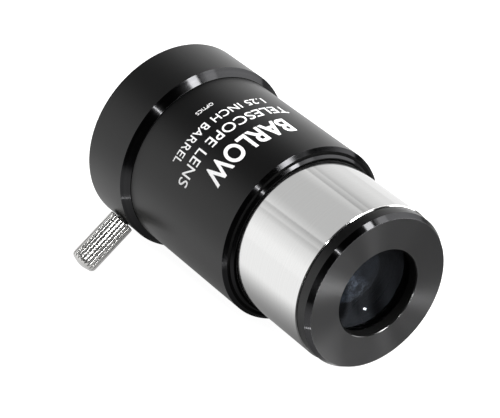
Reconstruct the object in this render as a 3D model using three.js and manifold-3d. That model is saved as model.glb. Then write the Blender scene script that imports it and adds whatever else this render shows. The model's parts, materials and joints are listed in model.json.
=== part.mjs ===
// A 1.25-inch barlow lens, lying on its side with its thumbscrew leaning on the same surface.
// Millimetres. +X runs along the optical axis towards the nose, +Z is up.
// Stations are distances along the optical axis from the end that takes the eyepiece.
import * as THREE from "three";
import { mergeVertices } from "three/addons/utils/BufferGeometryUtils.js";
import Module from "manifold-3d";

const wasm = await Module();
wasm.setup();

// ---- driving dimensions ----
const overallLength = 66.2;
const turnedSegments = 60; // facets round every piece on the optical axis
const jointGap = 0.05; // between faces that butt together
const threadGap = 0.1; // between a plain thread and its plain hole

const eyepieceBoreRadius = 15.9; // a 1.25-inch eyepiece barrel is 15.875
const nosepieceRadius = 15.85; // a 1.25-inch nosepiece

const collarRadius = 19.3;
const collarLength = 13.1;
const collarChamfer = { end: 18, length: 1.6 };
const collarEdgeBevel = 0.4;
const collarLipLength = 3.5;

const bodyRadius = 17.92;
const bodyEndStation = 43.9;
const bodyEndBevel = { radial: 0.77, length: 0.62 };
const spigotRadius = 17; // the thin stretch that the collar screws over
const boreFloorStation = 34;
const boreFloorSlope = 1;

const endRingRadius = 16.6;
const endRingFaceRadius = 16.15; // outside of the flat that a focuser's rim rests on
const endRingLength = 0.6;
const endRingRim = 0.07;
const endRingWeb = 0.25; // the thin inner part that the nosepiece clamps

const nosepieceEndStation = 62.9;
const nosepieceStartStation = 35;
const nosepieceThreadRadius = 14.3;
const nosepieceInnerRadius = 13.4;
const nosepieceEdgeBevel = 0.3;
const cellThreadRadius = 14.1; // M28.5 x 0.6, the filter thread of 1.25-inch barrels
const cellThreadHoleRadius = 14.25;
const cellThreadLength = 6.1;

const flangeRadius = 15.6;
const flangeFaceRadius = 14.97;
const flangeChamferLength = 1.15;
const cellEndBevel = 0.3;
const apertureRadius = 8.63;
const apertureBevel = 0.25;
const lipThickness = 2;

const lensRadius = 9.5;
const lensPocketRadius = 9.6;
const lensArcSteps = 5;
const frontCurve = 60; // radii of the three polished surfaces, front to back
const cementedCurve = 32;
const backCurve = 90;
const crownCentreThickness = 1.5;
const flintCentreThickness = 3;
const cementGap = 0.03;

const retainerThickness = 1.3;
const retainerInnerRadius = 8.4;
const spannerSlotWidth = 1.2;
const spannerSlotDepth = 0.6;

const screwStation = 6.8;
const screwAngleBelowLevel = THREE.MathUtils.degToRad(34);
const screwSegments = 24;
const studRadius = 1.45; // M3 x 0.5
const studHoleRadius = 1.6;
const studTip = 14.6; // distances out from the optical axis
const studTipBevel = 0.35;
const studEnd = 25.3;
const headBase = 19.55;
const headEnd = 31.4;
const headRadius = 2.77;
const headRootRadius = 2.47;
const headBaseRounding = 0.35;
const headEndRounding = 1.1;
const headDomeRadius = 1.67;
const headDomeRise = 0.3;
const fluteCount = 20;

// About half the difference between what stands out on the two sides of the optical axis.
const tubeAxisOffset = 3.75;

// ---- materials ----
function finish(color, roughness, metalness) {
  return new THREE.MeshStandardMaterial({ color, roughness, metalness });
}
const satinBlack = finish(0x17181a, 0.45, 0.5);
const glossBlack = finish(0x0c0d0e, 0.15, 0.5);
const matteBlack = finish(0x0f0f10, 0.8, 0.2);
const chrome = finish(0xe6e6e4, 0.12, 1);
const nickel = finish(0xd8d8d4, 0.25, 1);
const steel = finish(0xa8a8a6, 0.4, 1);
const flintGlass = finish(0x1a2030, 0.05, 0);
const crownGlass = finish(0x202838, 0.05, 0);

// ---- shape helpers ----

// Turns a profile of [radius, station] points about the optical axis.
// The profile climbs towards the nose on its outer side.
function turned(profile, segments = turnedSegments) {
  const points = profile.map(([radius, station]) => new THREE.Vector2(radius, station));
  return new THREE.LatheGeometry(points, segments).rotateZ(-Math.PI / 2);
}

// A ring's profile has a hole in its middle, so it closes on its own first point.
function turnedRing(profile) {
  return turned([...profile, profile[0]]);
}

function solidFrom(geometry) {
  const bare = geometry.clone();
  bare.deleteAttribute("normal");
  bare.deleteAttribute("uv");
  const merged = mergeVertices(bare, 1e-4);
  return new wasm.Manifold(
    new wasm.Mesh({
      numProp: 3,
      vertProperties: merged.attributes.position.array,
      triVerts: new Uint32Array(merged.index.array),
    }),
  );
}

function geometryFrom(solid) {
  const mesh = solid.getMesh();
  const geometry = new THREE.BufferGeometry();
  geometry.setAttribute("position", new THREE.BufferAttribute(mesh.vertProperties, 3));
  geometry.setIndex(new THREE.BufferAttribute(mesh.triVerts, 1));
  geometry.computeVertexNormals();
  return geometry;
}

function cut(geometry, tools) {
  const solid = tools.reduce((left, tool) => left.subtract(solidFrom(tool)), solidFrom(geometry));
  return geometryFrom(solid);
}

// A polished surface as [radius, station] points, from the axis out to the lens's edge.
// bow is +1 where the edge stands nearer the nose than the middle does, and -1 where it lies further back.
function polishedSurface(curve, middleStation, bow) {
  const points = [];
  for (let i = 0; i <= lensArcSteps; i++) {
    const radius = (lensRadius * i) / lensArcSteps;
    const sag = curve - Math.sqrt(curve * curve - radius * radius);
    points.push([radius, middleStation + bow * sag]);
  }
  return points;
}

// ---- pieces on the optical axis ----

function eyepieceCollar() {
  const chamferStart = collarLength - collarChamfer.length;
  return turnedRing([
    [eyepieceBoreRadius + collarEdgeBevel, 0],
    [collarRadius - collarEdgeBevel, 0],
    [collarRadius, collarEdgeBevel],
    [collarRadius, chamferStart],
    [collarChamfer.end, collarLength],
    [spigotRadius + threadGap, collarLength],
    [spigotRadius + threadGap, collarLipLength],
    [eyepieceBoreRadius, collarLipLength],
    [eyepieceBoreRadius, collarEdgeBevel],
  ]);
}

function bodyTube() {
  const threadHoleRadius = nosepieceThreadRadius + threadGap;
  return turnedRing([
    [eyepieceBoreRadius, collarLipLength + threadGap],
    [spigotRadius, collarLipLength + threadGap],
    [spigotRadius, collarLength + jointGap],
    [bodyRadius, collarLength + jointGap],
    [bodyRadius, bodyEndStation - bodyEndBevel.length],
    [bodyRadius - bodyEndBevel.radial, bodyEndStation],
    [threadHoleRadius, bodyEndStation],
    [threadHoleRadius, boreFloorStation],
    [eyepieceBoreRadius, boreFloorStation - boreFloorSlope],
  ]);
}

function endRing() {
  const back = bodyEndStation + jointGap;
  const front = back + endRingLength;
  const holeRadius = nosepieceThreadRadius + threadGap;
  const recessRadius = nosepieceRadius + threadGap;
  return turnedRing([
    [holeRadius, back],
    [endRingRadius, back],
    [endRingRadius, back + endRingRim],
    [endRingFaceRadius, front],
    [recessRadius, front],
    [recessRadius, back + endRingWeb],
    [holeRadius, back + endRingWeb],
  ]);
}

function nosepiece() {
  const shoulder = bodyEndStation + endRingWeb + 2 * jointGap;
  const threadFloor = nosepieceEndStation - cellThreadLength - cellEndBevel;
  return turnedRing([
    [nosepieceInnerRadius, nosepieceStartStation],
    [nosepieceThreadRadius, nosepieceStartStation],
    [nosepieceThreadRadius, shoulder],
    [nosepieceRadius, shoulder],
    [nosepieceRadius, nosepieceEndStation - nosepieceEdgeBevel],
    [nosepieceRadius - nosepieceEdgeBevel, nosepieceEndStation],
    [cellThreadHoleRadius, nosepieceEndStation],
    [cellThreadHoleRadius, threadFloor],
    [nosepieceInnerRadius, threadFloor - cellEndBevel],
  ]);
}

const cellBackStation = nosepieceEndStation - cellThreadLength;
const lensSeatStation = overallLength - lipThickness;

function lensCell() {
  const flangeBack = nosepieceEndStation + jointGap;
  return turnedRing([
    [lensPocketRadius, cellBackStation],
    [cellThreadRadius - cellEndBevel, cellBackStation],
    [cellThreadRadius, cellBackStation + cellEndBevel],
    [cellThreadRadius, flangeBack],
    [flangeRadius, flangeBack],
    [flangeRadius, overallLength - flangeChamferLength],
    [flangeFaceRadius, overallLength],
    [apertureRadius + apertureBevel, overallLength],
    [apertureRadius, overallLength - apertureBevel],
    [apertureRadius, lensSeatStation],
    [lensPocketRadius, lensSeatStation],
  ]);
}

// The crown is hollow on both sides and the flint behind it fills the crown's back.
const edgeSagOf = (curve) => curve - Math.sqrt(curve * curve - lensRadius * lensRadius);
const crownFrontMiddle = lensSeatStation - jointGap - edgeSagOf(frontCurve);
const crownBackMiddle = crownFrontMiddle - crownCentreThickness;
const flintFrontMiddle = crownBackMiddle - cementGap;
const flintBackMiddle = flintFrontMiddle - flintCentreThickness;

function crownElement() {
  return turned([
    ...polishedSurface(cementedCurve, crownBackMiddle, -1),
    ...polishedSurface(frontCurve, crownFrontMiddle, 1).reverse(),
  ]);
}

function flintElement() {
  return turned([
    ...polishedSurface(backCurve, flintBackMiddle, -1),
    ...polishedSurface(cementedCurve, flintFrontMiddle, -1).reverse(),
  ]);
}

function lensRetainingRing() {
  const front = flintBackMiddle - edgeSagOf(backCurve) - jointGap;
  const back = front - retainerThickness;
  const ring = turnedRing([
    [retainerInnerRadius, back],
    [lensRadius, back],
    [lensRadius, front],
    [retainerInnerRadius, front],
  ]);
  const slotLength = 3 * lensRadius;
  const slots = new THREE.BoxGeometry(2 * spannerSlotDepth, slotLength, spannerSlotWidth);
  return cut(ring, [slots.translate(back, 0, 0)]);
}

// ---- the thumbscrew, drawn pointing along +Y from the optical axis ----

function turnedAboutY(profile, segments = screwSegments) {
  const points = profile.map(([radius, distance]) => new THREE.Vector2(radius, distance));
  return new THREE.LatheGeometry(points, segments);
}

function thumbscrewStud() {
  return turnedAboutY([
    [0, studTip],
    [studRadius - studTipBevel, studTip],
    [studRadius, studTip + studTipBevel],
    [studRadius, studEnd],
    [0, studEnd],
  ]);
}

// The outline of the fluted grip: rounded ribs with a narrow groove between each two.
function flutedOutline() {
  const ribPoints = [
    [0, headRootRadius],
    [0.2, headRadius - 0.07],
    [0.5, headRadius],
    [0.8, headRadius - 0.07],
  ];
  const outline = [];
  for (let flute = 0; flute < fluteCount; flute++) {
    for (const [share, radius] of ribPoints) {
      const angle = ((flute + share) * 2 * Math.PI) / fluteCount;
      outline.push(new THREE.Vector2(radius * Math.cos(angle), radius * Math.sin(angle)));
    }
  }
  return new THREE.Shape(outline);
}

function thumbscrewHead() {
  const grip = new THREE.ExtrudeGeometry(flutedOutline(), {
    depth: headEnd - headBase,
    bevelEnabled: false,
  });
  grip.rotateX(-Math.PI / 2).translate(0, headBase, 0);
  const shoulder = headEnd - headDomeRise - headEndRounding;
  const roundedForm = turnedAboutY([
    [0, headBase],
    [headRadius - headBaseRounding, headBase],
    [headRadius + threadGap, headBase + headBaseRounding + threadGap],
    [headRadius + threadGap, shoulder],
    [headDomeRadius, headEnd - headDomeRise],
    [headDomeRadius / 2, headEnd - headDomeRise / 4],
    [0, headEnd],
  ], 2 * screwSegments);
  const studHole = turnedAboutY([
    [0, headBase - 1],
    [studHoleRadius, headBase - 1],
    [studHoleRadius, studEnd + threadGap],
    [0, studEnd + threadGap],
  ]);
  const head = solidFrom(grip).intersect(solidFrom(roundedForm));
  return geometryFrom(head.subtract(solidFrom(studHole)));
}

// The clearance hole that the thumbscrew needs through the collar and the body's spigot.
function screwHole() {
  const hole = turnedAboutY([
    [0, studTip - 3],
    [studHoleRadius, studTip - 3],
    [studHoleRadius, collarRadius + 3],
    [0, collarRadius + 3],
  ]);
  return hole.rotateX(Math.PI + screwAngleBelowLevel).translate(screwStation, 0, 0);
}

// ---- assembly ----

function piece(name, geometry, material) {
  const mesh = new THREE.Mesh(geometry, material);
  mesh.name = name;
  return mesh;
}

const tube = new THREE.Group();
tube.position.set(-overallLength / 2, tubeAxisOffset, collarRadius);
tube.add(
  piece("eyepiece_collar", cut(eyepieceCollar(), [screwHole()]), satinBlack),
  piece("body_tube", cut(bodyTube(), [screwHole()]), satinBlack),
  piece("end_ring", endRing(), glossBlack),
  piece("nosepiece", nosepiece(), chrome),
  piece("lens_cell", lensCell(), satinBlack),
  piece("crown_element", crownElement(), crownGlass),
  piece("flint_element", flintElement(), flintGlass),
  piece("lens_retaining_ring", lensRetainingRing(), matteBlack),
);

const thumbscrew = new THREE.Group();
thumbscrew.position.x = screwStation;
thumbscrew.rotation.x = Math.PI + screwAngleBelowLevel;
thumbscrew.add(
  piece("thumbscrew_head", thumbscrewHead(), nickel),
  piece("thumbscrew_stud", thumbscrewStud(), steel),
);
tube.add(thumbscrew);

const barlowLens = new THREE.Group();
barlowLens.add(tube);

export default barlowLens;
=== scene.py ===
import json
import math

import bmesh
import bpy
from mathutils import Matrix, Vector


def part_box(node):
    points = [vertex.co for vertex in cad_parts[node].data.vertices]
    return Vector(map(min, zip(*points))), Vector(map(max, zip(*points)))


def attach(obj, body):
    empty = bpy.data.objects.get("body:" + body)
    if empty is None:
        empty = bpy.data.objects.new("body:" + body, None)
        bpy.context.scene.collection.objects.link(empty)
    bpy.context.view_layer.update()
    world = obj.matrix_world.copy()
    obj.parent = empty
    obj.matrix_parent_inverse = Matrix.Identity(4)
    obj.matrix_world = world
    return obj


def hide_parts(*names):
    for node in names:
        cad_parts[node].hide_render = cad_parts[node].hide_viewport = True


# Looks for a 1.25-inch barlow lens. Lengths below are millimetres until they reach a mesh.
# Stations run along the optical axis from the end that takes the eyepiece.
# Angles round the optical axis start at +Z and turn towards +Y.

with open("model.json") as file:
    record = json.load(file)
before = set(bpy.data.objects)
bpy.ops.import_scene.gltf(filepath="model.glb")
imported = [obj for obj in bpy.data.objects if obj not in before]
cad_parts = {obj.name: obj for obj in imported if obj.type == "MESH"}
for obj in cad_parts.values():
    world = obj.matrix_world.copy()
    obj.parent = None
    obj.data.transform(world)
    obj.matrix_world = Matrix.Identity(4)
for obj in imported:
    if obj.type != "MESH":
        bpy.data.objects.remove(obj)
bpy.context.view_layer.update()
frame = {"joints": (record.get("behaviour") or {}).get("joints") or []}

MM = 0.001
TURN = 2 * math.pi

# ---- where the optical axis and the thumbscrew's axis lie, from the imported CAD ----
body_low, body_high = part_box("body_tube")
collar_low, collar_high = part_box("eyepiece_collar")
AXIS_START = Vector(
    (collar_low.x, (body_low.y + body_high.y) / 2, (collar_low.z + collar_high.z) / 2)
)
screw_joint = next(j for j in frame["joints"] if j["name"] == "thumbscrew_turn")
SCREW_DIRECTION = Vector(screw_joint["axis"]).normalized()
SCREW_ANGLE = math.atan2(SCREW_DIRECTION.y, SCREW_DIRECTION.z)
SCREW_STATION = (screw_joint["pos_m"][0] - AXIS_START.x) / MM

# ---- driving dimensions ----
COLUMNS = 256  # faces round every piece on the optical axis, unless its builder says otherwise
RETAINER_COLUMNS = 192
RETAINER_SKIPPED = (2, 83, 94)  # even columns that the retaining ring goes without
LENS_COLUMNS = 128
STUD_COLUMNS = 48
RIB_COLUMNS = 14  # columns in one rib and its groove
FILLET_STEPS = 5
OVERALL = 66.2

BORE = 15.9
COLLAR_RADIUS = 19.3
COLLAR_LENGTH = 13.1
COLLAR_CHAMFER_START = 11.5
COLLAR_CHAMFER_END_RADIUS = 18.0
COLLAR_LIP = 3.5
COUNTERBORE = 17.1

SPIGOT_RADIUS = 17.0
BODY_RADIUS = 17.92
BODY_END = 43.9
BODY_BEVEL = (0.77, 0.62)  # radial, along the axis
BORE_FLOOR = 34.0
THREAD_HOLE = 14.4

RING_RADIUS = 16.6
RING_INNER = 15.95

NOSE_BACK = 35.0
NOSE_SHOULDER = 44.25
NOSE_THREAD = 14.3
NOSE_RADIUS = 15.85
NOSE_END = 62.9
NOSE_CHAMFER = 0.18
NOSE_INNER = 13.4
CELL_THREAD_HOLE = 14.25
CELL_THREAD = 14.1
CELL_BACK = 56.8
CELL_BORE = 9.6
FLANGE_RADIUS = 15.6
FLANGE_FACE_RADIUS = 14.97
FLANGE_CHAMFER = 1.15
APERTURE = 8.63
LENS_RADIUS = 9.5
LENS_SEAT = 64.2
RETAINER_BACK = 57.01
RETAINER_FRONT = 58.31
RETAINER_INNER = 8.4
SLOT_DEPTH = 0.6
SLOT_HALF_WIDTH = 0.6

FINE_PITCH = 0.6  # the cell's filter thread
SCREW_PITCH = 0.5
THREAD_SHARE = 0.55  # a thread's depth as a share of its pitch

SCREW_HOLE = 1.6
STUD_RADIUS = 1.45
HEAD_BASE = 19.55
HEAD_END = 31.4
HEAD_RADIUS = 2.77
HEAD_ROOT = 2.4
PAINTED_SHADE_BELOW = 0.72  # share of a rib's height under which a groove takes the darker nickel, a painted shade
FLUTES = 20


# ---- materials ----
def material(name, **values):
    """A new Principled material with constant values on its sockets."""
    made = bpy.data.materials.new(name)
    made.use_nodes = True
    shader = made.node_tree.nodes["Principled BSDF"]
    for key, value in values.items():
        socket = shader.inputs[key.replace("_", " ").title().replace("Ior", "IOR")]
        socket.default_value = value
    return made, made.node_tree, shader


def node(tree, kind, **settings):
    made = tree.nodes.new(kind)
    for key, value in settings.items():
        setattr(made, key, value)
    return made


def math_node(tree, operation, *inputs):
    made = node(tree, "ShaderNodeMath", operation=operation)
    for i, value in enumerate(inputs):
        if isinstance(value, (int, float)):
            made.inputs[i].default_value = value
        else:
            tree.links.new(value, made.inputs[i])
    return made.outputs[0]


def turned_coordinate(tree):
    """One number that is the same all the way round, and differs from one tool mark to the next."""
    place = node(tree, "ShaderNodeTexCoord").outputs["Object"]
    parts = node(tree, "ShaderNodeSeparateXYZ")
    tree.links.new(place, parts.inputs[0])
    y, z = parts.outputs[1], parts.outputs[2]
    squares = math_node(tree, "ADD", math_node(tree, "MULTIPLY", y, y), math_node(tree, "MULTIPLY", z, z))
    radius = math_node(tree, "SQRT", squares)
    return math_node(tree, "ADD", parts.outputs[0], math_node(tree, "MULTIPLY", radius, 1.37))


def grooves(tree, shader, per_metre, height, roughness_low, roughness_high):
    """Fine tool marks round the axis: bump and a little change of roughness."""
    along = turned_coordinate(tree)
    noise = node(tree, "ShaderNodeTexNoise", noise_dimensions="1D")
    tree.links.new(along, noise.inputs["W"])
    noise.inputs["Scale"].default_value = per_metre
    noise.inputs["Detail"].default_value = 3.0
    spread = node(tree, "ShaderNodeMapRange")
    tree.links.new(noise.outputs[0], spread.inputs[0])
    spread.inputs[1].default_value = 0.3
    spread.inputs[2].default_value = 0.7
    spread.inputs[3].default_value = roughness_low
    spread.inputs[4].default_value = roughness_high
    tree.links.new(spread.outputs[0], shader.inputs["Roughness"])
    bump = node(tree, "ShaderNodeBump")
    bump.inputs["Strength"].default_value = 1.0
    bump.inputs["Distance"].default_value = height
    tree.links.new(noise.outputs[0], bump.inputs["Height"])
    tree.links.new(bump.outputs[0], shader.inputs["Normal"])
    return noise, bump


def grain(tree, bump, per_metre, height):
    """A fine matt grain under the tool marks."""
    place = node(tree, "ShaderNodeTexCoord").outputs["Object"]
    noise = node(tree, "ShaderNodeTexNoise")
    tree.links.new(place, noise.inputs["Vector"])
    noise.inputs["Scale"].default_value = per_metre
    noise.inputs["Detail"].default_value = 2.0
    under = node(tree, "ShaderNodeBump")
    under.inputs["Strength"].default_value = 1.0
    under.inputs["Distance"].default_value = height
    tree.links.new(noise.outputs[0], under.inputs["Height"])
    tree.links.new(under.outputs[0], bump.inputs["Normal"])
    return noise


def brushed_round(tree, shader):
    """Highlights spread across tool marks that run round the X axis."""
    tangent = node(tree, "ShaderNodeTangent", direction_type="RADIAL", axis="X")
    tree.links.new(tangent.outputs[0], shader.inputs["Tangent"])


def tint(tree, noise, shader, dark, light):
    ramp = node(tree, "ShaderNodeValToRGB")
    ramp.color_ramp.elements[0].position = 0.3
    ramp.color_ramp.elements[1].position = 0.75
    ramp.color_ramp.elements[0].color = (*dark, 1)
    ramp.color_ramp.elements[1].color = (*light, 1)
    tree.links.new(noise.outputs[0], ramp.inputs[0])
    tree.links.new(ramp.outputs[0], shader.inputs["Base Color"])


def satin_black():
    made, tree, shader = material("satin_black_anodised", specular_ior_level=0.33)
    _, bump = grooves(tree, shader, 9000, 0.0000005, 0.28, 0.34)
    fine = grain(tree, bump, 22000, 0.0000006)
    tint(tree, fine, shader, (0.0008, 0.0008, 0.0009), (0.0016, 0.0016, 0.0017))
    return made


def gloss_black():
    made, tree, shader = material(
        "gloss_black_turned", metallic=1.0, anisotropic=1.0, anisotropic_rotation=0.25
    )
    shader.inputs["Specular Tint"].default_value = (0.5, 0.5, 0.5, 1)
    noise, _ = grooves(tree, shader, 16000, 0.00000005, 0.15, 0.18)
    tint(tree, noise, shader, (0.023, 0.023, 0.024), (0.029, 0.029, 0.030))
    brushed_round(tree, shader)
    return made


def faced_black():
    made, tree, shader = material(
        "faced_black", metallic=0.6, anisotropic=0.9, anisotropic_rotation=0.25, specular_ior_level=0.3
    )
    noise, _ = grooves(tree, shader, 14000, 0.0000003, 0.35, 0.42)
    tint(tree, noise, shader, (0.106, 0.106, 0.107), (0.14, 0.14, 0.142))
    brushed_round(tree, shader)
    return made


def bare_edge():
    """A narrow edge where the turning tool left the metal brighter."""
    made, tree, shader = material("bare_turned_edge", metallic=1.0)
    noise, _ = grooves(tree, shader, 16000, 0.0000001, 0.12, 0.2)
    tint(tree, noise, shader, (0.08, 0.08, 0.08), (0.12, 0.12, 0.12))
    return made


def matte_black():
    made, tree, shader = material("matte_black_anti_glare", ior=1.05)
    _, bump = grooves(tree, shader, 6000, 0.000001, 0.62, 0.78)
    fine = grain(tree, bump, 16000, 0.000002)
    tint(tree, fine, shader, (0.004, 0.004, 0.004), (0.009, 0.009, 0.009))
    return made


def chrome():
    made, tree, shader = material("polished_chrome", metallic=1.0)
    shader.inputs["Specular Tint"].default_value = (0.9, 0.9, 0.9, 1)
    noise, _ = grooves(tree, shader, 5000, 0.00000008, 0.07, 0.11)
    tint(tree, noise, shader, (0.70, 0.70, 0.695), (0.74, 0.74, 0.735))
    return made


def nickel():
    made, tree, shader = material("bright_nickel", metallic=1.0)
    noise, _ = grooves(tree, shader, 9000, 0.00000004, 0.16, 0.22)
    tint(tree, noise, shader, (0.58, 0.575, 0.56), (0.66, 0.655, 0.64))
    return made


def nickel_painted_groove_shade():
    """The bottom of the thumbscrew's grooves: darker, rougher nickel whose dark colour paints the shade that
    falls in them.
    """
    made, tree, shader = material("nickel_with_painted_groove_shade", metallic=1.0)
    noise, _ = grooves(tree, shader, 9000, 0.0000001, 0.35, 0.5)
    tint(tree, noise, shader, (0.22, 0.22, 0.215), (0.30, 0.30, 0.29))
    return made


def steel():
    made, tree, shader = material("plain_steel", metallic=1.0)
    noise, _ = grooves(tree, shader, 12000, 0.0000008, 0.28, 0.42)
    tint(tree, noise, shader, (0.42, 0.42, 0.415), (0.56, 0.56, 0.55))
    return made


def glass(name, colour, ior):
    made, tree, shader = material(name, transmission_weight=1.0, ior=ior, specular_ior_level=0.1)
    shader.inputs["Specular Tint"].default_value = (0.72, 0.82, 1.0, 1)
    place = node(tree, "ShaderNodeTexCoord").outputs["Object"]
    haze = node(tree, "ShaderNodeTexNoise")
    tree.links.new(place, haze.inputs["Vector"])
    haze.inputs["Scale"].default_value = 90
    haze.inputs["Detail"].default_value = 3.0
    spread = node(tree, "ShaderNodeMapRange")
    tree.links.new(haze.outputs[0], spread.inputs[0])
    spread.inputs[3].default_value = 0.0
    spread.inputs[4].default_value = 0.006
    tree.links.new(spread.outputs[0], shader.inputs["Roughness"])
    dark = tuple(0.94 * c for c in colour)
    tint(tree, haze, shader, dark, colour)
    return made


def ink():
    made, tree, shader = material("white_ink", roughness=0.5, specular_ior_level=0.4)
    place = node(tree, "ShaderNodeTexCoord").outputs["Object"]
    mottle = node(tree, "ShaderNodeTexNoise")
    tree.links.new(place, mottle.inputs["Vector"])
    mottle.inputs["Scale"].default_value = 2600
    mottle.inputs["Detail"].default_value = 2.0
    tint(tree, mottle, shader, (0.74, 0.74, 0.74), (0.88, 0.88, 0.88))
    return made


FINISHES = {
    "satin": satin_black(),
    "gloss": gloss_black(),
    "faced": faced_black(),
    "edge": bare_edge(),
    "matte": matte_black(),
    "chrome": chrome(),
    "nickel": nickel(),
    # The darker nickel in the thumbscrew's grooves is painted shade.
    "recess": nickel_painted_groove_shade(),
    "steel": steel(),
    "crown": glass("crown_glass", (0.90, 0.94, 1.0), 1.517),
    "flint": glass("flint_glass", (0.86, 0.91, 1.0), 1.62),
    "ink": ink(),
}


# ---- turned shapes ----
def corner(x, r, fillet, finish, stops=(), relief=None, label=None):
    """A corner of a profile. Finish, stops, relief and label belong to the stretch that follows it."""
    return {
        "at": (x, r),
        "fillet": fillet,
        "finish": finish,
        "stops": stops,
        "relief": relief,
        "label": label,
    }


def row(x, r, nx, nr, finish, relief=None, label=None):
    return {"x": x, "r": r, "nx": nx, "nr": nr, "finish": finish, "relief": relief, "label": label}


def left_normal(a, b):
    dx, dr = b[0] - a[0], b[1] - a[1]
    length = math.hypot(dx, dr)
    return -dr / length, dx / length


def outlined(corners):
    """Rows round a profile whose outer side climbs in x, with a rounding at each corner and exact normals."""
    count = len(corners)
    rows = []
    for i, c in enumerate(corners):
        here = c["at"]
        before = corners[i - 1]
        after = corners[(i + 1) % count]
        into = left_normal(before["at"], here)
        out = left_normal(here, after["at"])
        turn = math.atan2(into[0] * out[1] - into[1] * out[0], into[0] * out[0] + into[1] * out[1])
        room = 0.48 * min(math.dist(before["at"], here), math.dist(here, after["at"]))
        half = math.tan(abs(turn) / 2)
        radius = min(c["fillet"], room / half)
        side = -1 if turn < 0 else 1  # -1 on an outside corner
        start = (here[0] - into[1] * radius * half, here[1] + into[0] * radius * half)
        centre = (start[0] + side * into[0] * radius, start[1] + side * into[1] * radius)
        for k in range(FILLET_STEPS + 1):
            swing = turn * k / FILLET_STEPS
            nx = into[0] * math.cos(swing) - into[1] * math.sin(swing)
            nr = into[0] * math.sin(swing) + into[1] * math.cos(swing)
            end = k == FILLET_STEPS
            rows.append(
                row(
                    centre[0] - side * nx * radius,
                    centre[1] - side * nr * radius,
                    nx,
                    nr,
                    c["finish"],
                    relief=c["relief"] if end else None,
                    label=c["label"] if end else None,
                )
            )
        for stop in c["stops"]:
            share = stop_share(here, after["at"], stop)
            x = here[0] + share * (after["at"][0] - here[0])
            r = here[1] + share * (after["at"][1] - here[1])
            rows.append(row(x, r, *out, c["finish"], relief=c["relief"], label=c["label"]))
    return rows


def stop_share(a, b, stop):
    """How far along a stretch a stop lies. Stops are stations, or radii on a flat face."""
    axis = 0 if abs(b[0] - a[0]) > abs(b[1] - a[1]) else 1
    return (stop - a[axis]) / (b[axis] - a[axis])


def spaced(start, end, step):
    """Stops from start to end, both left out, about step apart."""
    count = max(2, round(abs(end - start) / step))
    return [start + (end - start) * k / count for k in range(1, count)]


def radial(angle, x, r):
    return Vector((x, r * math.sin(angle), r * math.cos(angle)))


def placed(one, angle):
    """The point and normal of a row at an angle, with its relief."""
    x, r, nx, nr = one["x"], one["r"], one["nx"], one["nr"]
    normal = radial(angle, nx, nr)
    if one["relief"] is None:
        return radial(angle, x, r), normal
    height = one["relief"]
    small = 0.004
    dx, dr = nr, -nx
    h = height(x, r, angle)
    along = (height(x + dx * small, r + dr * small, angle) - h) / small
    around = (height(x, r, angle + small / r) - h) / small
    tangent = Vector((0, math.cos(angle), -math.sin(angle)))
    tilted = normal - along * radial(angle, dx, dr) - around * tangent
    return radial(angle, x + nx * h, r + nr * h), tilted.normalized()


def swept(rows, angles, closed=True, skipped=()):
    """Vertices, normals, faces and finishes of rows turned through angles.

    Skipped holds the (row, column) of each face left out.
    """
    points, normals, faces, finishes = [], [], [], []
    poles = {}
    index = []
    for i, one in enumerate(rows):
        line = []
        for j, angle in enumerate(angles):
            if one["r"] < 1e-6:
                if i not in poles:
                    poles[i] = len(points)
                    points.append(Vector((one["x"], 0, 0)))
                    normals.append(Vector((one["nx"], 0, 0)).normalized())
                line.append(poles[i])
                continue
            point, normal = placed(one, angle)
            line.append(len(points))
            points.append(point)
            normals.append(normal)
        index.append(line)
    last = len(rows) if closed else len(rows) - 1
    for i in range(last):
        a, b = index[i], index[(i + 1) % len(rows)]
        for j in range(len(angles)):
            if (i, j) in skipped:
                continue
            k = (j + 1) % len(angles)
            quad = [a[j], b[j], b[k], a[k]]
            faces.append(list(dict.fromkeys(quad)))
            finishes.append(rows[i]["finish"])
    return points, normals, faces, finishes, index


def mesh_object(name, points, normals, faces, finishes, smooth_normals=True):
    mesh = bpy.data.meshes.new(name)
    mesh.from_pydata([p * MM for p in points], [], faces)
    used = sorted(set(finishes))
    for finish in used:
        mesh.materials.append(FINISHES[finish])
    mesh.polygons.foreach_set("material_index", [used.index(f) for f in finishes])
    mesh.polygons.foreach_set("use_smooth", [True] * len(faces))
    mesh.update()
    if smooth_normals:
        mesh.normals_split_custom_set_from_vertices([tuple(n) for n in normals])
    made = bpy.data.objects.new(name, mesh)
    bpy.context.scene.collection.objects.link(made)
    return made


def even_angles(count=COLUMNS, start=SCREW_ANGLE):
    return [start + TURN * j / count for j in range(count)]


def on_optical_axis(made, body, replaced):
    made.location = AXIS_START
    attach(made, body)
    if replaced:
        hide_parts(replaced)
    return made


def turned_piece(name, corners, body, replaced, angles=None):
    rows = outlined(corners)
    points, normals, faces, finishes, _ = swept(rows, angles or even_angles())
    made = mesh_object(name, points, normals, faces, finishes)
    return on_optical_axis(made, body, replaced)


# ---- a round hole through a turned wall, on the thumbscrew's side ----
WINDOW_COLUMNS = 6  # each way from the screw's own column
WINDOW_HALF = 2.6
WINDOW_ROWS = 12
HOLE_EDGE = 0.12
WINDOW_STOPS = [
    SCREW_STATION + WINDOW_HALF * (2 * k / WINDOW_ROWS - 1) for k in range(WINDOW_ROWS + 1)
]


def border_of(rows, label):
    """First and last row of the window, and its edge as (row, column) pairs with the hole angle of each."""
    marked = [i for i, one in enumerate(rows) if one["label"] == label]
    first = [i for i in marked if abs(abs(rows[i]["x"] - SCREW_STATION) - WINDOW_HALF) < 1e-6]
    low, high = first[0], first[-1]
    w = WINDOW_COLUMNS
    loop = [(i, -w) for i in range(low, high)]
    loop += [(high, j) for j in range(-w, w)]
    loop += [(i, w) for i in range(high, low, -1)]
    loop += [(low, j) for j in range(w, -w, -1)]
    climbs = rows[high]["x"] > rows[low]["x"]
    return low, high, loop, climbs


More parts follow.
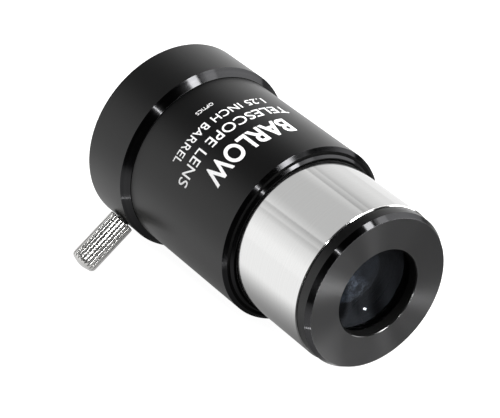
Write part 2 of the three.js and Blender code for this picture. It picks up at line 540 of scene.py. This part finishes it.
def hole_point(offset_x, offset_q, wall):
    """A point on a wall of that radius, by its offsets from the screw's axis, and the way out there."""
    tangent = Vector((0, math.cos(SCREW_ANGLE), -math.sin(SCREW_ANGLE)))
    out = Vector((0, math.sin(SCREW_ANGLE), math.cos(SCREW_ANGLE)))
    lift = math.sqrt(wall * wall - offset_q * offset_q)
    sideways = tangent * offset_q + out * lift
    return Vector((SCREW_STATION + offset_x, 0, 0)) + sideways, sideways / wall


def hole_sweep(climbs):
    """Where the hole's points start and which way they go round, to match the window's edge."""
    return (math.radians(225), 1) if climbs else (math.radians(315), -1)


def window_rings(rows, border, facing, index, points, normals):
    """Rings of points that lead over a wall from the window's square edge to the hole's round rim."""
    low, _, loop, climbs = border
    wall = rows[low]["r"]
    start, swing = hole_sweep(climbs)
    rim_radius = SCREW_HOLE + HOLE_EDGE
    rings = [[index[i][j % COLUMNS] for i, j in loop]]
    for share in (0.4, 0.75, 1.0):
        ring = []
        for k, (i, j) in enumerate(loop):
            psi = start + swing * TURN * k / len(loop)
            edge_x = rows[i]["x"] - SCREW_STATION
            edge_q = wall * math.sin(TURN * j / COLUMNS)
            x = edge_x + share * (rim_radius * math.cos(psi) - edge_x)
            q = edge_q + share * (rim_radius * math.sin(psi) - edge_q)
            point, out = hole_point(x, q, wall)
            ring.append(len(points))
            points.append(point)
            normals.append(out * facing)
        rings.append(ring)
    return rings


def hole_ring(wall, sink, climbs, count, points, normals):
    """A ring of the hole's own wall, sunk a little from the wall that it is cut in."""
    start, swing = hole_sweep(climbs)
    centre, _ = hole_point(0, 0, wall)
    out = (centre - Vector((SCREW_STATION, 0, 0))).normalized()
    ring = []
    for k in range(count):
        psi = start + swing * TURN * k / count
        point, _ = hole_point(SCREW_HOLE * math.cos(psi), SCREW_HOLE * math.sin(psi), wall)
        towards = centre - point
        towards -= out * towards.dot(out)
        ring.append(len(points))
        points.append(point + out * sink)
        normals.append(towards.normalized())
    return ring


def bridge(rings, finish, faces, finishes):
    """Faces between each ring and the next."""
    count = len(rings[0])
    for a, b in zip(rings, rings[1:]):
        for k in range(count):
            m = (k + 1) % count
            faces.append([a[k], a[m], b[m], b[k]])
            finishes.append(finish)


def drilled_piece(name, corners, body, replaced, hole_finish):
    """A turned piece whose stretches labelled outer and inner are joined by the thumbscrew's hole."""
    rows = outlined(corners)
    borders = {label: border_of(rows, label) for label in ("outer", "inner")}
    skipped = set()
    for low, high, _, _ in borders.values():
        for i in range(low, high):
            for j in range(-WINDOW_COLUMNS, WINDOW_COLUMNS):
                skipped.add((i, j % COLUMNS))
    points, normals, faces, finishes, index = swept(rows, even_angles(), skipped=skipped)
    rims = []
    for border, facing in zip(borders.values(), (1, -1)):
        rings = window_rings(rows, border, facing, index, points, normals)
        bridge(rings, rows[border[0]]["finish"], faces, finishes)
        rims.append(rings[-1])
    outer, inner = rims
    count = len(outer)
    climbs = borders["outer"][3]
    tube = [outer]
    for label, sink in (("outer", -HOLE_EDGE), ("inner", HOLE_EDGE)):
        wall = rows[borders[label][0]]["r"]
        tube.append(hole_ring(wall, sink, climbs, count, points, normals))
    tube.append([inner[(count // 4 - k) % count] for k in range(count)])
    bridge(tube, hole_finish, faces, finishes)
    made = mesh_object(name, points, normals, faces, finishes)
    return on_optical_axis(made, body, replaced)


# ---- threads and grooves as heights over a turned wall ----
def thread_height(pitch, start, end, depth):
    """A right-handed V thread cut into a wall, fading out at both ends."""

    def height(x, r, angle):
        phase = (x / pitch + angle / TURN) % 1.0
        valley = 1 - abs(2 * phase - 1)
        valley = min(max((valley - 0.12) / 0.76, 0.0), 1.0)
        fade = min(max(min(x - start, end - x) / pitch, 0.0), 1.0)
        return -depth * valley * fade

    return height


def groove_height(pitch, start, end, depth):
    """Rings cut into a wall so that it throws no glare."""

    def height(x, r, angle):
        phase = ((x - start) / pitch) % 1.0
        fade = min(max(min(x - start, end - x) / pitch, 0.0), 1.0)
        return -depth * fade * (1 - abs(2 * phase - 1))

    return height


# ---- pieces on the optical axis ----
def build_collar():
    corners = [
        corner(0, BORE + 0.4, 0.08, "satin"),
        corner(0, COLLAR_RADIUS - 0.4, 0.12, "satin"),
        corner(0.4, COLLAR_RADIUS, 0.15, "satin", stops=WINDOW_STOPS, label="outer"),
        corner(COLLAR_CHAMFER_START, COLLAR_RADIUS, 0.06, "gloss"),
        corner(COLLAR_LENGTH, COLLAR_CHAMFER_END_RADIUS, 0.06, "satin"),
        corner(COLLAR_LENGTH, COUNTERBORE, 0.06, "matte", stops=WINDOW_STOPS[::-1], label="inner"),
        corner(COLLAR_LIP, COUNTERBORE, 0.06, "matte"),
        corner(COLLAR_LIP, BORE, 0.06, "satin"),
        corner(0.4, BORE, 0.08, "satin"),
    ]
    return drilled_piece("collar_shell", corners, "tube", "eyepiece_collar", "satin")


def build_body():
    radial_cut, axial_cut = BODY_BEVEL
    start = COLLAR_LIP + 0.1
    step = COLLAR_LENGTH + 0.05
    corners = [
        corner(start, BORE, 0.06, "satin"),
        corner(start, SPIGOT_RADIUS, 0.08, "matte", stops=WINDOW_STOPS, label="outer"),
        corner(step, SPIGOT_RADIUS, 0.05, "satin"),
        corner(step, BODY_RADIUS, 0.12, "satin"),
        corner(BODY_END - axial_cut, BODY_RADIUS, 0.05, "gloss"),
        corner(BODY_END, BODY_RADIUS - radial_cut, 0.05, "matte"),
        corner(BODY_END, THREAD_HOLE, 0.05, "matte"),
        corner(BORE_FLOOR, THREAD_HOLE, 0.08, "matte"),
        corner(BORE_FLOOR - 1, BORE, 0.1, "satin", stops=WINDOW_STOPS[::-1], label="inner"),
    ]
    return drilled_piece("body_shell", corners, "tube", "body_tube", "satin")


def build_end_ring():
    back = BODY_END + 0.05
    corners = [
        corner(back, THREAD_HOLE, 0.04, "satin"),
        corner(back, RING_RADIUS, 0.03, "gloss"),
        corner(back + 0.07, RING_RADIUS, 0.03, "gloss"),
        corner(back + 0.6, RING_RADIUS - 0.45, 0.05, "matte"),
        corner(back + 0.6, RING_INNER, 0.04, "matte"),
        corner(back + 0.25, RING_INNER, 0.04, "matte"),
        corner(back + 0.25, THREAD_HOLE, 0.04, "matte"),
    ]
    return turned_piece("end_ring_shell", corners, "tube", "end_ring")


def build_nosepiece():
    floor = NOSE_END - 6.4
    female = thread_height(FINE_PITCH, floor, NOSE_END - 0.2, FINE_PITCH * THREAD_SHARE)
    male = thread_height(FINE_PITCH, NOSE_BACK + 0.2, NOSE_SHOULDER - 0.5, 0.28)
    rings = groove_height(0.7, NOSE_BACK + 1, floor - 1, 0.16)
    male_stops = spaced(NOSE_BACK + 0.2, NOSE_SHOULDER - 0.2, 0.1)
    corners = [
        corner(NOSE_BACK, NOSE_INNER, 0.1, "matte"),
        corner(NOSE_BACK, NOSE_THREAD, 0.15, "matte", stops=male_stops, relief=male),
        corner(NOSE_SHOULDER, NOSE_THREAD, 0.06, "chrome"),
        corner(NOSE_SHOULDER, NOSE_RADIUS, 0.12, "chrome"),
        corner(NOSE_END - NOSE_CHAMFER, NOSE_RADIUS, 0.05, "chrome"),
        corner(NOSE_END, NOSE_RADIUS - NOSE_CHAMFER, 0.04, "chrome"),
        corner(
            NOSE_END,
            CELL_THREAD_HOLE,
            0.1,
            "chrome",
            stops=spaced(NOSE_END - 0.15, floor + 0.1, 0.1),
            relief=female,
        ),
        corner(floor, CELL_THREAD_HOLE, 0.1, "matte"),
        corner(
            floor - 0.3,
            NOSE_INNER,
            0.08,
            "matte",
            stops=spaced(floor - 0.6, NOSE_BACK + 0.6, 0.175),
            relief=rings,
        ),
    ]
    return turned_piece("nosepiece_shell", corners, "tube", "nosepiece")


def build_cell():
    flange_back = NOSE_END + 0.05
    male = thread_height(FINE_PITCH, CELL_BACK + 0.2, flange_back - 0.35, FINE_PITCH * THREAD_SHARE)
    corners = [
        corner(CELL_BACK, CELL_BORE, 0.08, "matte"),
        corner(CELL_BACK, CELL_THREAD - 0.3, 0.05, "satin"),
        corner(
            CELL_BACK + 0.3,
            CELL_THREAD,
            0.05,
            "satin",
            stops=spaced(CELL_BACK + 0.4, flange_back - 0.1, 0.1),
            relief=male,
        ),
        corner(flange_back, CELL_THREAD, 0.06, "satin"),
        corner(flange_back, FLANGE_RADIUS, 0.08, "satin"),
        corner(OVERALL - FLANGE_CHAMFER, FLANGE_RADIUS, 0.08, "gloss"),
        corner(OVERALL, FLANGE_FACE_RADIUS, 0.06, "faced"),
        corner(OVERALL, APERTURE + 0.25, 0.03, "edge"),
        corner(OVERALL - 0.08, APERTURE + 0.17, 0.02, "matte"),
        corner(OVERALL - 0.25, APERTURE, 0.05, "matte"),
        corner(LENS_SEAT, APERTURE, 0.05, "matte"),
        corner(LENS_SEAT, CELL_BORE, 0.05, "matte"),
    ]
    return turned_piece("cell_shell", corners, "cell", "lens_cell")


def spanner_height(depth, half_width):
    """Two slots across the back of the retaining ring."""

    def height(x, r, angle):
        return -depth if abs(r * math.sin(angle)) < half_width else 0.0

    return height


def build_retainer():
    """Even columns, with two close together at each edge of the slots, so that the slots have crisp walls."""
    slot_edge = math.asin(2 * SLOT_HALF_WIDTH / (RETAINER_INNER + LENS_RADIUS))
    edges = [side + edge for side in (0, math.pi) for edge in (-slot_edge, slot_edge)]
    close = 0.004
    angles = [edge + nudge for edge in edges for nudge in (-close, close)]
    for j, angle in enumerate(even_angles(RETAINER_COLUMNS, 0.0)):
        if j not in RETAINER_SKIPPED:
            angles.append(angle)
    ordered = sorted(a % TURN for a in angles)
    stops = spaced(RETAINER_INNER + 0.05, LENS_RADIUS - 0.05, 0.25)
    cut = spanner_height(SLOT_DEPTH, SLOT_HALF_WIDTH)
    corners = [
        corner(RETAINER_BACK, RETAINER_INNER, 0.05, "matte", stops=stops, relief=cut),
        corner(RETAINER_BACK, LENS_RADIUS, 0.05, "matte"),
        corner(RETAINER_FRONT, LENS_RADIUS, 0.05, "matte"),
        corner(RETAINER_FRONT, RETAINER_INNER, 0.05, "matte"),
    ]
    return turned_piece(
        "retainer_shell", corners, "cell", "lens_retaining_ring", angles=ordered
    )


def polished(curve, middle, bow, count=24):
    """Rows of a spherical surface from the axis out, as (station, radius, tilt, straightness).

    Bow is 1 where the edge stands nearer the nose than the middle does, and -1 where it lies further back.
    """
    rows = []
    for k in range(count + 1):
        r = (LENS_RADIUS - 0.25) * k / count
        depth = math.sqrt(curve * curve - r * r)
        rows.append((middle + bow * (curve - depth), r, r / curve, depth / curve))
    return rows


def build_lens(name, back, front, finish, replaced):
    """A lens from (curve, middle station, bow) of its back and its front, with bevelled ground edges."""
    rows = []
    for x, r, tilt, straight in polished(*back):
        rows.append(row(x, r, -straight, back[2] * tilt, finish))
    back_edge = rows[-1]["x"]
    front_rows = polished(*front)[::-1]
    front_edge = front_rows[0][0]
    bevel = 0.25
    for x, r, nx, nr, kind in (
        (back_edge, LENS_RADIUS - bevel, -0.707, 0.707, "matte"),
        (back_edge + bevel, LENS_RADIUS, -0.707, 0.707, "matte"),
        (back_edge + bevel, LENS_RADIUS, 0, 1, "matte"),
        (front_edge - bevel, LENS_RADIUS, 0, 1, "matte"),
        (front_edge - bevel, LENS_RADIUS, 0.707, 0.707, "matte"),
        (front_edge, LENS_RADIUS - bevel, 0.707, 0.707, finish),
    ):
        rows.append(row(x, r, nx, nr, kind))
    for x, r, tilt, straight in front_rows:
        rows.append(row(x, r, straight, -front[2] * tilt, finish))
    points, normals, faces, finishes, _ = swept(rows, even_angles(LENS_COLUMNS), closed=False)
    made = mesh_object(name, points, normals, faces, finishes)
    return on_optical_axis(made, "lens_pair", replaced)


collar_shell = build_collar()
body_shell = build_body()
build_end_ring()
nosepiece_shell = build_nosepiece()
cell_shell = build_cell()
build_retainer()

# Each surface as curve, station of its middle, bow. The cement between the two lenses is 0.03 thick.
CROWN_FRONT = (60.0, 63.393, 1)
CROWN_BACK = (32.0, 61.893, -1)
FLINT_FRONT = (32.0, 61.863, -1)
FLINT_BACK = (90.0, 58.863, -1)
crown_lens = build_lens("crown_lens", CROWN_BACK, CROWN_FRONT, "crown", "crown_element")
build_lens("flint_lens", FLINT_BACK, FLINT_FRONT, "flint", "flint_element")


# ---- the thumbscrew, with its own axis along local X ----
def on_screw_axis(made, body, replaced):
    turn = Vector((1, 0, 0)).rotation_difference(SCREW_DIRECTION)
    start = Vector((SCREW_STATION * MM, 0, 0)) + AXIS_START
    made.matrix_world = Matrix.Translation(start) @ turn.to_matrix().to_4x4()
    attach(made, body)
    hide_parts(replaced)
    return made


def rib_height(angle):
    """0 in the bottom of a groove and 1 on the crest of a rib."""
    share = (angle * FLUTES / TURN) % 1.0
    off = abs(share - 0.5) * 2
    return 1 - 0.3 * off * off - 0.7 * off**6


def arc_stations(centre, radius, start, end, count):
    """Points of an arc as (distance, radius), angles in degrees from the screw's axis."""
    made = []
    for k in range(count + 1):
        angle = math.radians(start + (end - start) * k / count)
        made.append((centre[0] + radius * math.cos(angle), centre[1] + radius * math.sin(angle)))
    return made


def build_head():
    base_round, end_round = 0.35, 1.1
    dome_radius, dome_rise = HEAD_RADIUS - end_round, 0.3
    hole = STUD_RADIUS + 0.15
    hole_end = 25.4
    form = [(hole_end, 0.0), (hole_end, hole * 0.5), (hole_end, hole - 0.05), (hole_end - 0.05, hole)]
    form += [(x, hole) for x in (24.0, 22.5, 21.0, HEAD_BASE + 0.2)]
    form += [(HEAD_BASE + 0.06, hole + 0.05), (HEAD_BASE, hole + 0.2)]
    plain_rows = len(form)
    form += [(HEAD_BASE, HEAD_RADIUS - base_round)]
    base_centre = (HEAD_BASE + base_round, HEAD_RADIUS - base_round)
    form += arc_stations(base_centre, base_round, 180, 90, 10)[1:]
    shoulder = HEAD_END - dome_rise - end_round
    form += [(x, HEAD_RADIUS) for x in spaced(HEAD_BASE + base_round, shoulder, 0.3)]
    end_centre = (shoulder, HEAD_RADIUS - end_round)
    sphere = (dome_radius**2 + dome_rise**2) / (2 * dome_rise)
    form += arc_stations(end_centre, end_round, 90, 17, 14)
    for k in range(11, -1, -1):
        r = dome_radius * k / 12
        x = HEAD_END - sphere + math.sqrt(sphere * sphere - r * r)
        form.append((x, r))
    columns = FLUTES * RIB_COLUMNS
    softness = 0.02
    points, faces = [], []
    index = []
    for i, (x, r) in enumerate(form):
        if r == 0.0:
            index.append([len(points)] * columns)
            points.append(Vector((x, 0, 0)))
            continue
        line = []
        for j in range(columns):
            angle = TURN * j / columns
            limit = HEAD_ROOT + (HEAD_RADIUS - HEAD_ROOT) * rib_height(angle)
            over = r - limit
            cut = 0 if i < plain_rows else (over + math.hypot(over, softness)) / 2
            line.append(len(points))
            points.append(radial(angle, x, r - cut))
        index.append(line)
    finishes = []
    for a, b, (x, r) in zip(index, index[1:], form):
        for j in range(columns):
            k = (j + 1) % columns
            faces.append(list(dict.fromkeys([a[j], b[j], b[k], a[k]])))
            # Faces low in a groove take the darker nickel, which paints the shade that falls there.
            in_painted_groove_shade = rib_height(TURN * (j + 0.5) / columns) < PAINTED_SHADE_BELOW and r > HEAD_ROOT + 0.12
            finishes.append("recess" if in_painted_groove_shade else "nickel")
    made = mesh_object("thumbscrew_grip", points, [], faces, finishes, False)
    return on_screw_axis(made, "screw_head", "thumbscrew_head")


def build_stud():
    start, end = 14.6, 25.3
    cut = thread_height(SCREW_PITCH, start + 0.5, end, SCREW_PITCH * THREAD_SHARE)
    rows = [row(start, 0.0, -1, 0, "steel"), row(start, STUD_RADIUS * 0.5, -1, 0, "steel")]
    rows.append(row(start, STUD_RADIUS - 0.42, -1, 0, "steel"))
    rows.append(row(start + 0.07, STUD_RADIUS - 0.32, -0.7, 0.7, "steel"))
    rows.append(row(start + 0.35, STUD_RADIUS - 0.03, -0.6, 0.8, "steel"))
    rows.append(row(start + 0.42, STUD_RADIUS, 0, 1, "steel"))
    for x in spaced(start + 0.42, end - 0.1, SCREW_PITCH / 8):
        rows.append(row(x, STUD_RADIUS, 0, 1, "steel", relief=cut))
    rows += [row(end, STUD_RADIUS - 0.1, 0.7, 0.7, "steel"), row(end, 0.0, 1, 0, "steel")]
    points, normals, faces, finishes, _ = swept(rows, even_angles(STUD_COLUMNS, 0.0), closed=False)
    made = mesh_object("thumbscrew_rod", points, normals, faces, finishes, False)
    return on_screw_axis(made, "screw_stud", "thumbscrew_stud")


build_head()
build_stud()

# ---- generic printing on the body ----
INK_UNDER, INK_PROUD = 0.02, 0.025


def print_line(name, words, start_angle, width, top, baseline, weight):
    """Words laid round the body. They read towards falling angles, with their tops towards the nose."""
    curve = bpy.data.curves.new(name, "FONT")
    curve.body = words
    curve.size = 1.0
    curve.offset = weight
    curve.space_character = 1.04
    curve.extrude = 0.5
    source = bpy.data.objects.new(name + "_source", curve)
    bpy.context.scene.collection.objects.link(source)
    bpy.context.view_layer.update()
    evaluated = source.evaluated_get(bpy.context.evaluated_depsgraph_get())
    mesh = bpy.data.meshes.new_from_object(evaluated)
    bpy.data.objects.remove(source)
    shape = bmesh.new()
    shape.from_mesh(mesh)
    bmesh.ops.remove_doubles(shape, verts=shape.verts, dist=1e-5)
    xs = [v.co.x for v in shape.verts]
    ys = [v.co.y for v in shape.verts]
    left, low = min(xs), min(ys)
    along = width / (max(xs) - left)
    up = (baseline - top) / (max(ys) - low)
    for v in shape.verts:
        v.co = Vector(((v.co.x - left) * along, (v.co.y - low) * up, v.co.z))
    step = 0.45
    for k in range(1, int(width / step) + 1):
        everything = shape.verts[:] + shape.edges[:] + shape.faces[:]
        bmesh.ops.bisect_plane(
            shape, geom=everything, plane_co=(k * step, 0, 0), plane_no=(1, 0, 0), dist=1e-6
        )
    for v in shape.verts:
        angle = start_angle - v.co.x / BODY_RADIUS
        proud = INK_PROUD if v.co.z > 0 else -INK_UNDER
        v.co = radial(angle, OVERALL - baseline + v.co.y, BODY_RADIUS + proud) * MM
    bmesh.ops.recalc_face_normals(shape, faces=shape.faces[:])
    shape.to_mesh(mesh)
    shape.free()
    mesh.name = name
    mesh.materials.clear()
    mesh.materials.append(FINISHES["ink"])
    made = bpy.data.objects.new(name, mesh)
    bpy.context.scene.collection.objects.link(made)
    return on_optical_axis(made, "tube", None)


print_line("print_name", "BARLOW", math.radians(12.6), 19.7, 29.9, 34.95, 0.022)
print_line("print_use", "TELESCOPE LENS", math.radians(25), 27.5, 37.25, 39.85, 0.004)
print_line("print_fit", "1.25 INCH BARREL", math.radians(17.5), 22.4, 41.6, 43.6, 0.002)
print_line("print_small", "OPTICS", math.radians(349), 3.9, 46.1, 47.0, 0.0)

# ---- floor, light and camera ----
TARGET = Vector((-0.002045, 0.000822, 0.019229))


def smooth_range(tree, value, start, end, low, high):
    made = node(tree, "ShaderNodeMapRange", interpolation_type="SMOOTHSTEP")
    tree.links.new(value, made.inputs[0])
    for i, limit in enumerate((start, end, low, high)):
        made.inputs[i + 1].default_value = limit
    return made.outputs[0]


def floor_material():
    """White paper to look at, evenly bright. What it throws back at the object is emission with a painted
    shadow close under the object, darker towards +X, and patches of painted light in a band along y.
    """
    made, tree, shader = material("pale_floor", roughness=0.9, specular_ior_level=0.1)
    place = node(tree, "ShaderNodeTexCoord").outputs["Object"]
    paper = node(tree, "ShaderNodeTexNoise")
    tree.links.new(place, paper.inputs["Vector"])
    paper.inputs["Scale"].default_value = 40
    tint(tree, paper, shader, (0.3, 0.3, 0.3), (0.32, 0.32, 0.32))
    shader.inputs["Emission Color"].default_value = (1, 1, 1, 1)
    shader.inputs["Emission Strength"].default_value = 0.95
    parts = node(tree, "ShaderNodeSeparateXYZ")
    tree.links.new(place, parts.inputs[0])
    narrowed = node(tree, "ShaderNodeVectorMath", operation="MULTIPLY")
    tree.links.new(place, narrowed.inputs[0])
    narrowed.inputs[1].default_value = (0.45, 1, 1)
    far = node(tree, "ShaderNodeVectorMath", operation="LENGTH")
    tree.links.new(narrowed.outputs[0], far.inputs[0])
    # Painted shadow: the light thrown back is weaker close to the object.
    painted_shadow_near_object = smooth_range(tree, far.outputs["Value"], 0.008, 0.042, 0.36, 1.15)
    by_x = smooth_range(tree, parts.outputs[0], -0.005, 0.05, 1.0, 0.06)
    streaks = node(tree, "ShaderNodeTexNoise")
    tree.links.new(place, streaks.inputs["Vector"])
    streaks.inputs["Scale"].default_value = 130
    streaks.inputs["Detail"].default_value = 2.0
    streaks.inputs["Distortion"].default_value = 1.5
    # Painted light: streaky patches of brighter light thrown back, in a band along y.
    painted_light_patches = smooth_range(tree, streaks.outputs[0], 0.42, 0.66, 0.12, 0.75)
    left_edge = smooth_range(tree, parts.outputs[1], -0.008, 0.006, 0.0, 1.0)
    right_edge = smooth_range(tree, parts.outputs[1], 0.012, 0.026, 1.0, 0.15)
    band = math_node(tree, "MULTIPLY", left_edge, right_edge)
    by_side = math_node(tree, "MAXIMUM", by_x, math_node(tree, "MULTIPLY", painted_light_patches, band))
    thrown = node(tree, "ShaderNodeEmission")
    tree.links.new(math_node(tree, "MULTIPLY", painted_shadow_near_object, by_side), thrown.inputs["Strength"])
    path = node(tree, "ShaderNodeLightPath")
    mixed = node(tree, "ShaderNodeMixShader")
    tree.links.new(path.outputs["Is Camera Ray"], mixed.inputs[0])
    tree.links.new(thrown.outputs[0], mixed.inputs[1])
    tree.links.new(shader.outputs[0], mixed.inputs[2])
    tree.links.new(mixed.outputs[0], tree.nodes["Material Output"].inputs["Surface"])
    return made


def build_floor():
    bounds = 4.0
    mesh = bpy.data.meshes.new("floor")
    steps = 8
    points = []
    faces = []
    for i in range(steps + 1):
        for j in range(steps + 1):
            points.append((bounds * (2 * i / steps - 1), bounds * (2 * j / steps - 1), 0))
    for i in range(steps):
        for j in range(steps):
            a = i * (steps + 1) + j
            faces.append((a, a + steps + 1, a + steps + 2, a + 1))
    mesh.from_pydata(points, [], faces)
    mesh.materials.append(floor_material())
    floor = bpy.data.objects.new("floor", mesh)
    bpy.context.scene.collection.objects.link(floor)


def area_light(name, direction, distance, width, length, across, radiance, aim=TARGET):
    """A flat light seen from aim in one direction. Its width lies along across."""
    light = bpy.data.lights.new(name, "AREA")
    light.shape = "RECTANGLE"
    light.size = width
    light.size_y = length
    light.energy = radiance * math.pi * width * length
    made = bpy.data.objects.new(name, light)
    bpy.context.scene.collection.objects.link(made)
    back = Vector(direction).normalized()
    side = Vector(across)
    side = (side - back * side.dot(back)).normalized()
    up = back.cross(side)
    turn = Matrix((side, up, back)).transposed()
    made.matrix_world = Matrix.Translation(aim + back * distance) @ turn.to_4x4()
    made.visible_camera = False
    return made


def link_light(light, piece, state="INCLUDE"):
    """Keep a light to one piece, or off it, as a small card held near it would."""
    group = bpy.data.collections.new(light.name + "_receiver")
    group.objects.link(piece)
    group.collection_objects[0].light_linking.link_state = state
    light.light_linking.receiver_collection = group


def build_world():
    """A pale band low on the far side of a dark room."""
    world = bpy.data.worlds.new("studio")
    bpy.context.scene.world = world
    world.use_nodes = True
    tree = world.node_tree
    back = tree.nodes["Background"]
    place = node(tree, "ShaderNodeTexCoord").outputs["Generated"]
    parts = node(tree, "ShaderNodeSeparateXYZ")
    tree.links.new(place, parts.inputs[0])
    height = node(tree, "ShaderNodeValToRGB")
    ramp = height.color_ramp
    ramp.elements[0].position = 0.0
    ramp.elements[0].color = (1, 1, 1, 1)
    ramp.elements[1].position = 1.0
    ramp.elements[1].color = (0.012, 0.012, 0.012, 1)
    for spot, value in ((0.2, 1.0), (0.44, 0.8), (0.55, 0.5), (0.64, 0.16), (0.70, 0.03)):
        made = ramp.elements.new(spot)
        made.color = (value, value, value, 1)
    tree.links.new(parts.outputs[2], height.inputs[0])
    side = node(tree, "ShaderNodeMapRange", interpolation_type="SMOOTHSTEP")
    tree.links.new(parts.outputs[0], side.inputs[0])
    side.inputs[1].default_value = 0.25
    side.inputs[2].default_value = -0.25
    side.inputs[3].default_value = 0.035
    side.inputs[4].default_value = 1.2
    dimmer = smooth_range(tree, parts.outputs[1], 0.2, 0.8, 1.0, 0.84)
    level = math_node(tree, "MULTIPLY", side.outputs[0], dimmer)
    shown = math_node(tree, "MULTIPLY", level, height.outputs[0])
    floor_level = math_node(tree, "MAXIMUM", shown, 0.03)
    tree.links.new(floor_level, back.inputs["Strength"])
    back.inputs["Color"].default_value = (1, 1, 1, 1)


def build_camera():
    """The view that the part is shown from: a long lens, from above and to one side of the nose."""
    right = Vector((0.58072, 0.81409, 0.00500))
    down = Vector((0.45484, -0.31935, -0.83135))
    forward = Vector((-0.67519, 0.48506, -0.55573))
    turn = Matrix((right, -down, -forward)).transposed()
    data = bpy.data.cameras.new("camera")
    data.lens = 156.05
    data.sensor_width = 36
    data.clip_start = 0.01
    data.clip_end = 50
    made = bpy.data.objects.new("camera", data)
    bpy.context.scene.collection.objects.link(made)
    made.matrix_world = Matrix.Translation((0.272422, -0.196357, 0.245136)) @ turn.to_4x4()
    bpy.context.scene.camera = made


build_floor()
build_world()
build_camera()
# The places that small cards aim at, in metres.
CELL_CHAMFER_PLACE = Vector((0.0325, 0.0014, 0.0344))
APERTURE_EDGE_PLACE = Vector((0.0331, 0.0053, 0.0106))
UNDER_PLACE = Vector((0.036, -0.057, 0.03))
GLINT_PLACE = Vector((0.0303, 0.0041, 0.0135))
# Short strips held low on the left, one for each chamfer: name, place, direction, radiance, piece.
LOW_TICKS = (
    ("collar_tick", (-0.0208, -0.0148, 0.0175), (0.231, -0.713, -0.662), 12.0, collar_shell),
    ("bevel_tick", (0.0105, -0.0138, 0.0199), (0.619, -0.57, -0.54), 12.0, body_shell),
    ("cell_tick", (0.0325, -0.0115, 0.0178), (0.02, -0.699, -0.715), 24.0, cell_shell),
)
TICK_ACROSS = (0.0, -0.7, 0.7)

patch_softbox = area_light("patch_softbox", (0.50, 0.275, 0.82), 0.8, 0.135, 0.95, (0, 0.99, -0.14), 30.0)
link_light(patch_softbox, cell_shell, "EXCLUDE")
cell_patch = area_light(
    "cell_patch", (0.193, 0.289, 0.938), 0.8, 0.135, 0.3, (0, 0.99, -0.14), 30.0, aim=CELL_CHAMFER_PLACE
)
link_light(cell_patch, cell_shell)
edge_card = area_light(
    "edge_card", (0.68, 0.291, 0.673), 0.8, 0.22, 0.08, (0, 1, 0), 30.0, aim=APERTURE_EDGE_PLACE
)
link_light(edge_card, cell_shell)
area_light("tick_strip", (0.605, -0.40, 0.68), 0.9, 0.012, 1.1, (0, 0.8, 0.6), 55.0)
area_light("side_fill", (0.05, 0.85, 0.47), 1.0, 1.2, 0.75, (0, 0, 1), 4.2)
area_light("upper_fill", (0.36, 0.52, 0.775), 1.0, 0.72, 0.27, (1, 0, 0), 3.3)
face_card = area_light("face_card", (0.913, -0.398, -0.087), 0.2, 0.045, 0.045, (0, 0, 1), 84.0)
face_card.visible_diffuse = False
link_light(face_card, cell_shell)
under_card = area_light("under_card", (0, 0, -1), 0.029, 0.018, 0.11, (1, 0, 0), 1.7, aim=UNDER_PLACE)
link_light(under_card, cell_shell)
top_card = area_light("top_card", (-0.675, 0, 0.738), 0.8, 0.775, 0.6, (0, 1, 0), 0.39)
link_light(top_card, nosepiece_shell)
wide_card = area_light("wide_card", (-0.675, 0, 0.738), 0.85, 1.1, 0.6, (0, 1, 0), 0.25)
link_light(wide_card, nosepiece_shell)
glint = area_light("glint", (0.728, 0.505, -0.463), 0.024, 0.00014, 0.00014, (0, 0, 1), 60.0, aim=GLINT_PLACE)
link_light(glint, crown_lens)
for name, place, direction, radiance, piece in LOW_TICKS:
    tick = area_light(name, direction, 0.02, 0.0004, 0.02, TICK_ACROSS, radiance, aim=Vector(place))
    link_light(tick, piece)
bpy.context.scene.view_settings.view_transform = "Standard"
